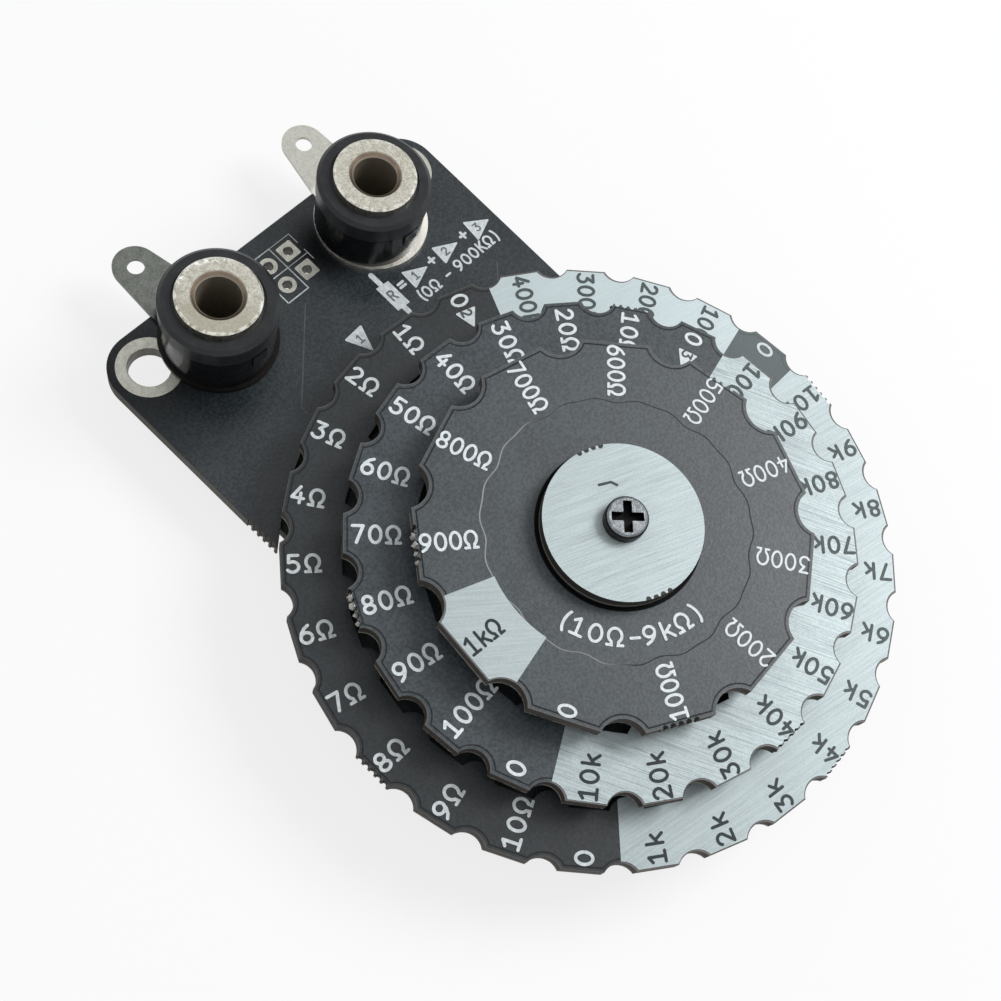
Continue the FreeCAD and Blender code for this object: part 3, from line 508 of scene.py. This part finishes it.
def tubeMaterial():
    material, tree, shader, position = newMaterial("nickelTube")
    t, c = tubeSizes, tubeColours
    spot = inMm(tree, position)
    x, y, z = split(tree, spot)
    left = calc(tree, "LESS_THAN", x, 0.0)
    middle = times(tree, without(tree, times(tree, left, 2.0)), t["across"])
    away = minus(tree, x, middle)
    deep = minus(tree, y, t["along"])
    fromAxis, turnTo = hypotenuse(tree, away, deep), calc(tree, "ARCTAN2", deep, away)
    inBore = (t["bore"] - 0.06, t["bore"] + 0.06)
    cloud = noise(tree, spot, 1.5, 4.0, 0.65)
    specks = noise(tree, spot, 7.0, 2.0, 0.7)
    factor = ramp(tree, blendValue(tree, 0.6, cloud, specks), 0.34, 0.66)
    colour = blendColour(tree, factor, c["dull"], c["bright"])
    dullSide = ramp(tree, facing(tree, turnTo, t["dullTurn"]), -0.1, 0.7, 0.0, 0.6)
    colour = blendColour(tree, times(tree, left, dullSide), colour, c["dullerSide"])
    toNicks = calc(tree, "ABSOLUTE", minus(tree, turnTo, math.radians(t["nickTurn"])))
    chipped = ramp(tree, noise(tree, spot, 2.6, 2.0, 0.6), 0.50, 0.58)
    nicks = times(tree, ramp(tree, toNicks, 0.55, 0.95, 1.0, 0.0),
                  times(tree, ramp(tree, fromAxis, t["rim"] - 0.8, t["rim"] - 0.3), chipped))
    # painted highlight: a bright band along the rim's outer edge, broken by the cloud
    paintedGlint = times(tree, ramp(tree, fromAxis, t["rim"] - 0.30, t["rim"] - 0.16),
                ramp(tree, cloud, 0.42, 0.60))
    colour = blendColour(tree, paintedGlint, colour, c["edge"])
    colour = blendColour(tree, times(tree, nicks, blendValue(tree, left, 0.25, 0.9)), colour,
                         c["nick"])
    colour = blendColour(tree, ramp(tree, fromAxis, t["brown"], t["clear"], 1.0, 0.0),
                         colour, blendColour(tree, cloud, c["mouthDark"], c["mouth"]))
    colour = blendColour(tree, ramp(tree, fromAxis, *inBore, 1.0, 0.0), colour, c["bore"])
    fill(tree, shader.inputs["Base Color"], colour)
    fill(tree, shader.inputs["Roughness"], ramp(tree, cloud, 0.2, 0.8, 0.44, 0.28))
    fill(tree, shader.inputs["Metallic"], ramp(tree, fromAxis, *inBore, 0.4, 1.0))
    bump(tree, shader, times(tree, blendValue(tree, 0.5, factor, nicks), 0.02), 1.0, 0.6)
    return material


nickelTube = tubeMaterial()

finish = {
    "head_board": boardHead, "base_carrier": boardInner, "pivot_post": brass, "hub_disc": tinHub,
    "pivot_screw": screwSteel, "disc_spring": springSteel, "base_contacts": goldFlash,
    "base_spacer": spacerPlastic,
}
for side in ("left", "right"):
    finish.update({"solder_tag_" + side: tagShaded if side == "left" else tagLit,
                   "jack_sleeve_" + side: sleevePlastic, "jack_collar_" + side: collarPlastic,
                   "jack_tube_" + side: nickelTube, "jack_washer_" + side: nickel, "jack_nut_" + side: nickel})
for number in dials:
    start = "dial_%d_" % number
    finish.update({start + "ring": boardDial[number], start + "carrier": boardInner,
                   start + "resistors": chipBody, start + "contacts": goldFlash,
                   start + "spacer": spacerPlastic})
for name, node in nodes.items():
    node.data.materials.clear()
    node.data.materials.append(finish[name])
print("materials:", len(bpy.data.materials))


# (cx + rx cos a, cy + ry sin a), a from start to end in degrees
def arc(cx, cy, rx, ry, start, end, count=13):
    a = np.radians(np.linspace(start, end, count))
    return np.column_stack([cx + rx * np.cos(a), cy + ry * np.sin(a)])


def path(*parts):
    return np.vstack([np.atleast_2d(np.array(part, float)) for part in parts])


# each sign: its advance and its strokes on a body 0.95 wide and 1.5 tall; W stands for the ohm sign
signs = {
    "0": (1.45, [arc(0.475, 0.75, 0.475, 0.75, 0, 360, 25)]),
    "1": (1.45, [path((0.12, 1.18), (0.54, 1.5)), path((0.54, 1.5), (0.54, 0)), path((0.1, 0), (0.95, 0))]),
    "2": (1.45, [path(arc(0.46, 1.06, 0.42, 0.44, 158, -28), (0.03, 0.0)), path((0.03, 0), (0.94, 0))]),
    "3": (1.45, [path((0.08, 1.5), (0.86, 1.5)), path((0.86, 1.5), (0.42, 0.92)),
                 path(arc(0.42, 0.46, 0.47, 0.46, 90, -148))]),
    "4": (1.45, [path((0.60, 1.5), (0.02, 0.44)), path((0.02, 0.44), (0.96, 0.44)),
                 path((0.68, 0.92), (0.68, 0))]),
    "5": (1.45, [path((0.86, 1.5), (0.15, 1.5)), path((0.15, 1.5), (0.12, 0.86)),
                 path((0.12, 0.86), arc(0.42, 0.47, 0.48, 0.47, 92, -145))]),
    "6": (1.45, [path((0.80, 1.5), (0.46, 1.30), (0.16, 0.92), (0.03, 0.50)),
                 arc(0.475, 0.46, 0.45, 0.46, 0, 360, 21)]),
    "7": (1.45, [path((0.03, 1.5), (0.93, 1.5)), path((0.93, 1.5), (0.36, 0))]),
    "8": (1.45, [arc(0.475, 1.12, 0.37, 0.38, 0, 360, 19), arc(0.475, 0.37, 0.44, 0.37, 0, 360, 21)]),
    "9": (1.45, [path((0.15, 0.0), (0.49, 0.20), (0.79, 0.58), (0.92, 1.0)),
                 arc(0.475, 1.04, 0.45, 0.46, 0, 360, 21)]),
    "W": (1.62, [path((1.12, 0), (0.77, 0), arc(0.53, 0.86, 0.53, 0.64, -58, 238, 21), (0.29, 0), (-0.06, 0))]),
    "k": (1.30, [path((0.10, 1.5), (0.10, 0)), path((0.80, 1.0), (0.12, 0.46)), path((0.36, 0.66), (0.86, 0))]),
    "K": (1.30, [path((0.10, 1.5), (0.10, 0)), path((0.84, 1.5), (0.12, 0.60)), path((0.36, 0.86), (0.90, 0))]),
    "R": (1.30, [path((0.10, 0), (0.10, 1.5)), path((0.10, 1.5), arc(0.46, 1.12, 0.40, 0.38, 90, -90),
                                                    (0.10, 0.74)), path((0.48, 0.74), (0.90, 0))]),
    "-": (1.15, [path((0.12, 0.66), (0.80, 0.66))]),
    "+": (1.20, [path((0.02, 0.75), (0.90, 0.75)), path((0.46, 0.31), (0.46, 1.19))]),
    "=": (1.20, [path((0.06, 0.50), (0.86, 0.50)), path((0.06, 1.00), (0.86, 1.00))]),
    "(": (0.85, [arc(0.72, 0.72, 0.50, 1.12, 125, 235)]),
    ")": (0.85, [arc(-0.10, 0.72, 0.50, 1.12, 55, -55)]),
    " ": (0.90, []),
}


# the strokes of a word laid along x, with its signs stretched by (wide, tall), and the word's length
def spell(text, wide=1.0, spread=1.0, tall=1.0):
    strokes, x = [], 0.0
    for letter in text:
        advance, parts = signs[letter]
        strokes += [part * (wide, tall) + (x, 0.0) for part in parts]
        x += advance * spread
    return strokes, x


# a flat ribbon along a line: p(t) + s half m(t), s = -1 and 1, m the mitre, with half-round ends
def inkRibbon(line, half):
    steps = np.diff(line, axis=0)
    steps /= np.linalg.norm(steps, axis=1)[:, None]
    ahead = np.vstack([steps, steps[-1:]])
    behind = np.vstack([steps[:1], steps])
    tangent = ahead + behind
    tangent /= np.linalg.norm(tangent, axis=1)[:, None]
    side = np.column_stack([-tangent[:, 1], tangent[:, 0]])
    reach = half / np.clip((tangent * ahead).sum(1), 0.6, 1.0)
    left, right = line + side * reach[:, None], line - side * reach[:, None]
    count = len(line)
    spots = [left, right]
    quads = [(i, i + count, i + count + 1, i + 1) for i in range(count - 1)]
    closed = np.allclose(line[0], line[-1])
    for at, end, way in () if closed else ((0, line[0], -steps[0]), (count - 1, line[-1], steps[-1])):
        first = math.atan2(way[1], way[0]) - math.pi / 2
        sweep = first + np.linspace(0.0, math.pi, 7)[1:-1]
        base = sum(len(s) for s in spots)
        spots.append(end + half * np.column_stack([np.cos(sweep), np.sin(sweep)]))
        rest = list(range(base, base + 5))
        quads.append([at + count] + rest + [at] if at else [at] + rest + [at + count])
    return np.vstack(spots), quads


def newObject(name, data):
    thing = bpy.data.objects.new(name, data)
    bpy.context.scene.collection.objects.link(thing)
    return thing


def meshPiece(name, spots, faces, material, body, smooth=False):
    mesh = bpy.data.meshes.new(name)
    mesh.from_pydata((np.asarray(spots) * mm).tolist(), [], [list(map(int, face)) for face in faces])
    mesh.update()
    if smooth:
        mesh.polygons.foreach_set("use_smooth", np.ones(len(mesh.polygons), bool))
    piece = newObject(name, mesh)
    mesh.materials.append(material)
    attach(piece, body)


# the flat print of a level is one sheet: ribbons and filled outlines, each a hair above the last
def newSheet(level, rise=0.012, step=0.0006):
    return dict(spots=[], faces=[], count=0, height=level + rise, step=step)


def addTo(sheet, flat, faces):
    sheet["spots"].append(np.column_stack([flat, np.full(len(flat), sheet["height"])]))
    sheet["faces"] += [[i + sheet["count"] for i in face] for face in faces]
    sheet["count"] += len(flat)
    sheet["height"] += sheet["step"]


def stroke(sheet, line, half):
    addTo(sheet, *inkRibbon(line, half))


def shape(sheet, outline):
    addTo(sheet, np.array(outline, float), [list(range(len(outline)))])


def finishSheet(sheet, name, material, body):
    meshPiece(name, np.vstack(sheet["spots"]), sheet["faces"], material, body)


# q = origin + x along + y across, with across a quarter turn to the left of along
def place(strokes, origin, along, scale=1.0):
    along = np.array(along, float)
    across = np.array([-along[1], along[0]])
    return [np.array(origin) + (s[:, :1] * along + s[:, 1:] * across) * scale for s in strokes]


dialWords = {
    1: ["0"] + ["%dW" % n for n in range(1, 11)] + ["0"] + ["%dk" % n for n in range(1, 11)]
       + ["0"] + ["%d00k" % n for n in range(1, 5)],
    2: ["0"] + ["%d0W" % n for n in range(1, 11)] + ["0"] + ["%d0k" % n for n in range(1, 11)],
    3: ["0"] + ["%d00W" % n for n in range(1, 10)] + ["1kW"],
}


# the way out from the axis through the middle of a tooth
def wayOut(dial, tooth=0):
    angle = math.radians(dial["turn"] + tooth * dial["pitch"])
    return np.array([math.cos(angle), math.sin(angle)])


def dialPlace(strokes, dial, index, start, drop, ink, scale=1.0):
    inward = -wayOut(dial, index)
    across = np.array([-inward[1], inward[0]])
    origin = np.array(pivot) - inward * (start - ink) - across * drop * scale
    return place(strokes, origin, inward, scale)


# a triangle from the middle of its base to its tip, with its corners cut a little
def triangle(base, tip, width, soft=0.12):
    base, tip = np.array(base, float), np.array(tip, float)
    way = (tip - base) / np.linalg.norm(tip - base)
    side = np.array([-way[1], way[0]]) * width / 2
    corners = np.array([base + side, base - side, tip])
    after, before = np.roll(corners, -1, 0), np.roll(corners, 1, 0)
    cut = [corners + (other - corners) / np.linalg.norm(other - corners, axis=1)[:, None] * soft
           for other in (before, after)]
    return np.stack(cut, 1).reshape(-1, 2)


pointerSizes = {2: dict(dial=1, start=26.35, tip=24.4, width=2.15),
                3: dict(dial=2, start=20.65, tip=18.6, width=2.0)}
pointerSign = dict(scale=0.62, inset=0.08, pen=0.09, rise=0.01)
ringText = dict(word="(10W-9kW)", first=191.5, last=266.5, baseline=10.55, ink=0.13)
for number, dial in dials.items():
    light, dark = newSheet(dial["level"]), newSheet(dial["level"], 0.014)
    for index, word in enumerate(dialWords[number]):
        late = index >= dial.get("lateFrom", len(dialWords[number]))
        wide, spread, tall, ink = dial["lateGlyph" if late else "glyph"]
        onSilver = any(low < index < high for low, high in dial["silver"])
        start = dial["silverStart" if onSilver else "start"]
        ink *= 0.80 if index in dial.get("thin", ()) else 1.0
        for line in dialPlace(spell(word, wide, spread, tall)[0], dial, index, start, 0.75 * tall, ink):
            stroke(dark if onSilver else light, line, ink)
    for sign, p in pointerSizes.items():
        if p["dial"] == number:
            out = wayOut(dial)
            shape(light, triangle(pivot + out * p["start"], pivot + out * p["tip"], p["width"]))
            dark["height"] += pointerSign["rise"]
            for line in dialPlace(spell(str(sign))[0], dial, 0, p["start"] + 0.02, 0.75,
                                  pointerSign["inset"], pointerSign["scale"]):
                stroke(dark, line, pointerSign["pen"])
    if number == 3:
        strokes, length = spell(ringText["word"])
        spread = (ringText["last"] - ringText["first"]) / (length - 0.4)
        for line in strokes:  # x runs round the hub, y towards it
            angle = np.radians(ringText["first"] + spread * line[:, 0])
            radius = ringText["baseline"] - line[:, 1]
            stroke(light, np.array(pivot) + np.column_stack([radius * np.cos(angle), radius * np.sin(angle)]),
                   ringText["ink"])
    finishSheet(light, "dialPrint%d" % number, brighterPrint if number > 1 else whitePrint, dial["body"])
    finishSheet(dark, "dialDark%d" % number, darkPrint, dial["body"])
print("dial print done")

# the head board's print, from the pivot: pointers (base, tip, width, sign), the resistor sign, the
# sum's other signs, and the range below them; a word has its place, scale and ink
headSizes = dict(
    pointers=(((0.075, 31.53), (0.24, 28.85), 2.34, "1"), ((8.0, 31.99), (10.56, 31.88), 2.2, "1"),
              ((12.13, 31.98), (14.71, 31.83), 2.2, "2"), ((16.5, 31.85), (18.95, 31.63), 2.5, "3")),
    signBack=(0.25, 0.40), signSize=(0.54, 0.075), leads=((5.68, 29.6), (5.63, 34.7)), leadPen=0.27,
    body=((4.95, 30.34), (6.46, 30.27), (6.46, 33.23), (4.98, 33.37)), letter=("R", (5.35, 31.35), 0.68, 0.09),
    signs=(("=", (6.82, 31.5)), ("+", (10.9, 31.5)), ("+", (15.25, 31.45))), sumSize=(0.8, 0.14),
    span=("(0W - 900KW)", (7.55, 29.45), 0.73, 0.11))
h = headSizes
headPrint = newSheet(top["head_board"])
headDark = newSheet(top["head_board"], 0.03)
boardOrigin = np.array(pivot)


def write(sheet, word, spot, scale, ink):
    for line in place(spell(word)[0], boardOrigin + spot, (1, 0), scale):
        stroke(sheet, line, ink)


for base, tip, width, sign in h["pointers"]:
    shape(headPrint, boardOrigin + triangle(base, tip, width))
    write(headDark, sign, np.array(base) * 0.66 + np.array(tip) * 0.34 - h["signBack"], *h["signSize"])
shape(headPrint, boardOrigin + np.array(h["body"]))
stroke(headPrint, boardOrigin + path(*h["leads"]), h["leadPen"])
write(headDark, *h["letter"])
for sign, spot in h["signs"]:
    write(headPrint, sign, spot, *h["sumSize"])
write(headPrint, *h["span"])

# the header's frame round its four pads, thick on the left and thin on the right
padSizes = dict(x=0.24, y=40.35, pitch=2.54, half=0.87, drill=0.5, skin=0.045, up=2.58, down=2.76,
                pen=0.062, thinPen=0.042)
padMiddle = boardOrigin + (padSizes["x"], padSizes["y"])
side, up, down = padSizes["pitch"], padSizes["up"], padSizes["down"]
for line in (path((-side, -down), (0, -down), (0, up), (-side, up), (-side, -down)), path((-side, 0), (0, 0))):
    stroke(headPrint, padMiddle + line, padSizes["pen"])
for line in (path((0, up), (side, up), (side, 1.38)), path((0.1, 0), (side, 0)),
             path((side, 0.45), (side, -0.80))):
    stroke(headPrint, padMiddle + line, padSizes["thinPen"])
finishSheet(headPrint, "headPrint", whitePrint, "base")
finishSheet(headDark, "headDark", faintPrint, "base")

# copper tracks under the mask show as faint ridges
trackRidge = newSheet(top["head_board"], 0.006)
for line in (path((-1.1, 36.6), (-8.8, 29.1), (-8.8, 28.4)), path((16.1, 27.8), (14.7, 26.3))):
    stroke(trackRidge, boardOrigin + line, 0.06)
trackMask = plasticMaterial("trackMask", (0.055, 0.055, 0.062), (0.075, 0.075, 0.082), (0.3, 0.4))
finishSheet(trackRidge, "trackRidge", trackMask, "base")


# a closed loop of eight rim points carried round the hole: q = centre + r(a) (cos a, sin a), z from the
# loop; a square land has r(a) = half / max(|cos a|, |sin a|)
def platedHole(name, centre, outer, hole, square=False, foil=0.014, skin=0.03, sink=0.004, lip=(0.05, 0.03),
               steps=48):
    low, high = 0.0, top["head_board"]
    a = np.arange(steps) * 2 * math.pi / steps + math.pi / steps
    edge = outer / np.maximum(abs(np.cos(a)), abs(np.sin(a))) if square else np.full(steps, outer)
    bore = np.full(steps, hole - skin)
    radii = np.stack([edge, edge, bore + lip[0], bore, bore, bore + lip[0], edge, edge])
    heights = np.array([high - sink, high + foil, high + foil, high - lip[1],
                        low + lip[1], low - foil, low - foil, low + sink])
    spots = np.stack([centre[0] + radii * np.cos(a), centre[1] + radii * np.sin(a),
                      np.broadcast_to(heights[:, None], radii.shape)], -1).reshape(-1, 3)
    loop = len(heights)
    faces = [(r * steps + i, ((r + 1) % loop) * steps + i, ((r + 1) % loop) * steps + (i + 1) % steps,
              r * steps + (i + 1) % steps) for r in range(loop) for i in range(steps)]
    meshPiece(name, spots, faces, tinPlating, "base")


holeSizes = dict(across=16.1, ring=2.98, radius=1.95)
for side, sign in (("left", -1), ("right", 1)):
    platedHole("holePlating_" + side, (sign * holeSizes["across"], 0.0), holeSizes["ring"], holeSizes["radius"])
for column in (-1, 1):
    for row in (-1, 1):
        platedHole("headerPad_%s%d" % ("round" if column < 0 else "square", (row + 3) // 2),
                   padMiddle + np.array([column, row]) * padSizes["pitch"] / 2,
                   padSizes["half"], padSizes["drill"], square=column > 0, skin=padSizes["skin"])
print("plated holes done")

tick = newSheet(top["hub_disc"])
stroke(tick, boardOrigin + path((0.81, 3.76), (1.80, 3.22), (1.99, 2.68)), 0.125)
finishSheet(tick, "hubTick", darkPrint, "base")


# torn fibre between the tab's holes: small lumps r(u, v) = size (1 + 0.20 noise), squashed by
# (1.1, 0.9, 1.9), one for each gap, on a grid of 8 round and 6 high with closed poles
def nubRow(name, body, places, seed, material):
    rng = np.random.default_rng(seed)
    u, v = np.meshgrid(np.linspace(0, 2 * math.pi, 9)[:-1], np.linspace(-math.pi / 2, math.pi / 2, 6))
    unit = np.stack([np.cos(u) * np.cos(v), np.sin(u) * np.cos(v), np.sin(v)], -1)
    spots, faces, count = [], [], 0
    for centre, inward, size in places:
        lump = unit * (1 + 0.20 * rng.standard_normal(u.shape))[..., None] * size * (0.75 + 0.5 * rng.random())
        lump[0], lump[-1] = lump[0].mean(0), lump[-1].mean(0)
        across = np.array([-inward[1], inward[0]])
        flat = centre[:2] + lump[..., :1] * inward * 1.1 + lump[..., 1:2] * across * 0.9
        spots.append(np.concatenate([flat, centre[2] + lump[..., 2:] * 1.9], -1).reshape(-1, 3))
        faces += [(count + r * 8 + i, count + r * 8 + (i + 1) % 8, count + (r + 1) * 8 + (i + 1) % 8,
                   count + (r + 1) * 8 + i) for r in range(5) for i in range(8)]
        count += 48
    meshPiece(name, np.vstack(spots), faces, material, body, smooth=True)


# each dial's three teeth with tabs; the pale ones are few, large and wide apart, and may be slipped
tabSizes = dict(plain=6, pitch=0.72, size=0.15, pale=4, palePitch=0.792, paleSize=0.30, inset=0.08,
                down=0.672, teeth={1: (8, 15, 21), 2: (8, 15, 1), 3: (9, 1, 5)}, paleTeeth={3: 9, 2: 8},
                slip={3: 0.30, 2: 0.0})


# places along a tooth's straight edge: s = (k - (count - 1) / 2) pitch + shift
def tabPlaces(dial, tooth, count, pitch, size, shift=0.0):
    outward = wayOut(dial, tooth)
    along = np.array([-outward[1], outward[0]])
    start = np.array(pivot) + outward * (dial["flat"] - tabSizes["inset"])
    return [(np.append(start + along * step, dial["level"] - tabSizes["down"]), -outward, size)
            for step in (np.arange(count) - (count - 1) / 2) * pitch + shift]


for number, dial in dials.items():
    pale, plain = [], []
    for tooth in tabSizes["teeth"][number]:
        if tooth == tabSizes["paleTeeth"].get(number):
            pale += tabPlaces(dial, tooth, tabSizes["pale"], tabSizes["palePitch"], tabSizes["paleSize"],
                              tabSizes["slip"][number])
        else:
            plain += tabPlaces(dial, tooth, tabSizes["plain"], tabSizes["pitch"], tabSizes["size"])
    nubRow("tabNubs%d" % number, dial["body"], plain, 10 + number, nubDark)
    if pale:
        nubRow("tabNubsPale%d" % number, dial["body"], pale, 14 + number, nubPale)
print("tabs done")

# in metres: the floor, its share of shadow, the sky's light on the object, and the key lamp
stageSizes = dict(size=3.0, paper=(0.97, 0.97, 0.97, 1.0), shadow=0.22, fadeFrom=0.09, fadeTo=0.30,
                  sky=(0.97, 0.985, 1.0, 1.0), skyDiffuse=0.45, keyWay=(0.60, -0.23, 0.66), keyPower=1.75,
                  keySize=0.22, keyReach=0.5, aimHeight=0.01)
floorMesh = bpy.data.meshes.new("floor")
floorMesh.from_pydata([(x * stageSizes["size"], y * stageSizes["size"], lowest)
                       for x, y in ((-1, -1), (1, -1), (1, 1), (-1, 1))], [], [(0, 1, 2, 3)])
floor = newObject("floor", floorMesh)
floorMaterial, tree, shader, position = newMaterial("floorPaper")
shader.inputs["Base Color"].default_value = stageSizes["paper"]
shader.inputs["Roughness"].default_value = 0.9
bump(tree, shader, noise(tree, position, 400.0, 3.0), 0.02, 0.2)


# rays that show the white background: the camera's, mirrored ones and those through glass
def seenRays(tree):
    light = tree.nodes.new("ShaderNodeLightPath").outputs
    bounced = calc(tree, "MAXIMUM", light["Is Glossy Ray"], light["Is Transmission Ray"])
    return calc(tree, "MAXIMUM", light["Is Camera Ray"], bounced)


def mixShaders(tree, factor, first, second):
    node = tree.nodes.new("ShaderNodeMixShader")
    for socket, value in zip(node.inputs, (factor, first.outputs[0], second.outputs[0])):
        fill(tree, socket, value)
    return node


# the share that takes shadows fades with the distance, and from below the floor is clear
glow = tree.nodes.new("ShaderNodeEmission")
away = vectorCalc(tree, "DISTANCE", position, (pivot[0] * mm, pivot[1] * mm, lowest))
share = ramp(tree, away, stageSizes["fadeFrom"], stageSizes["fadeTo"], stageSizes["shadow"], 0.0)
lit = mixShaders(tree, times(tree, seenRays(tree), without(tree, share)), shader, glow)
oneSided = mixShaders(tree, tree.nodes.new("ShaderNodeNewGeometry").outputs["Backfacing"], lit,
                      tree.nodes.new("ShaderNodeBsdfTransparent"))
fill(tree, tree.nodes["Material Output"].inputs[0], oneSided.outputs[0])
floorMesh.materials.append(floorMaterial)

world = bpy.data.worlds.new("studio")
bpy.context.scene.world = world
world.use_nodes = True
tree = world.node_tree
plain = tree.nodes["Background"]
plain.inputs["Color"].default_value = stageSizes["sky"]
plain.inputs["Strength"].default_value = stageSizes["skyDiffuse"]
white = tree.nodes.new("ShaderNodeBackground")
white.inputs["Color"].default_value = (1, 1, 1, 1)
fill(tree, tree.nodes["World Output"].inputs[0], mixShaders(tree, seenRays(tree), plain, white).outputs[0])


# an object whose columns (side, up, back) stand at a spot, in metres
def hold(name, data, columns, spot):
    holder, turn = newObject(name, data), np.column_stack(columns)
    holder.matrix_world = Matrix([[*turn[i], spot[i]] for i in range(3)] + [[0, 0, 0, 1]])
    return holder


lamp = bpy.data.lights.new("key", "AREA")
lamp.energy, lamp.size = stageSizes["keyPower"], stageSizes["keySize"]
way = np.array(stageSizes["keyWay"]) / np.linalg.norm(stageSizes["keyWay"])
side = np.cross((0, 0, 1), way)
side /= np.linalg.norm(side)
aim = np.array([pivot[0] * mm, pivot[1] * mm, stageSizes["aimHeight"]])
hold("key", lamp, (side, np.cross(way, side), way), aim + way * stageSizes["keyReach"])

# the fitted view: its right, down and forward rows, the lens, the picture's middle and the eye
viewRows = np.array([[0.65255756, -0.71954640, 0.23753232], [-0.64369920, -0.69179239, -0.32722259],
                     [0.39977489, 0.06063221, -0.91460580]])
viewSizes = dict(lens=54.250, right=616.0, down=519.0, spot=(-51.9613, -48.1776, 132.0025), frame=1001)
camera = bpy.data.cameras.new("camera")
camera.sensor_width = 36.0
camera.lens = viewSizes["lens"]
camera.shift_x = -(viewSizes["right"] - viewSizes["frame"] / 2) / viewSizes["frame"]
camera.shift_y = (viewSizes["down"] - viewSizes["frame"] / 2) / viewSizes["frame"]
camera.clip_start = 0.01
bpy.context.scene.camera = hold("camera", camera, (viewRows[0], -viewRows[1], -viewRows[2]),
                                np.array(viewSizes["spot"]) * mm)
bpy.context.scene.view_settings.view_transform = "Standard"
print("stage, light and camera done")

bpy.context.view_layer.update()
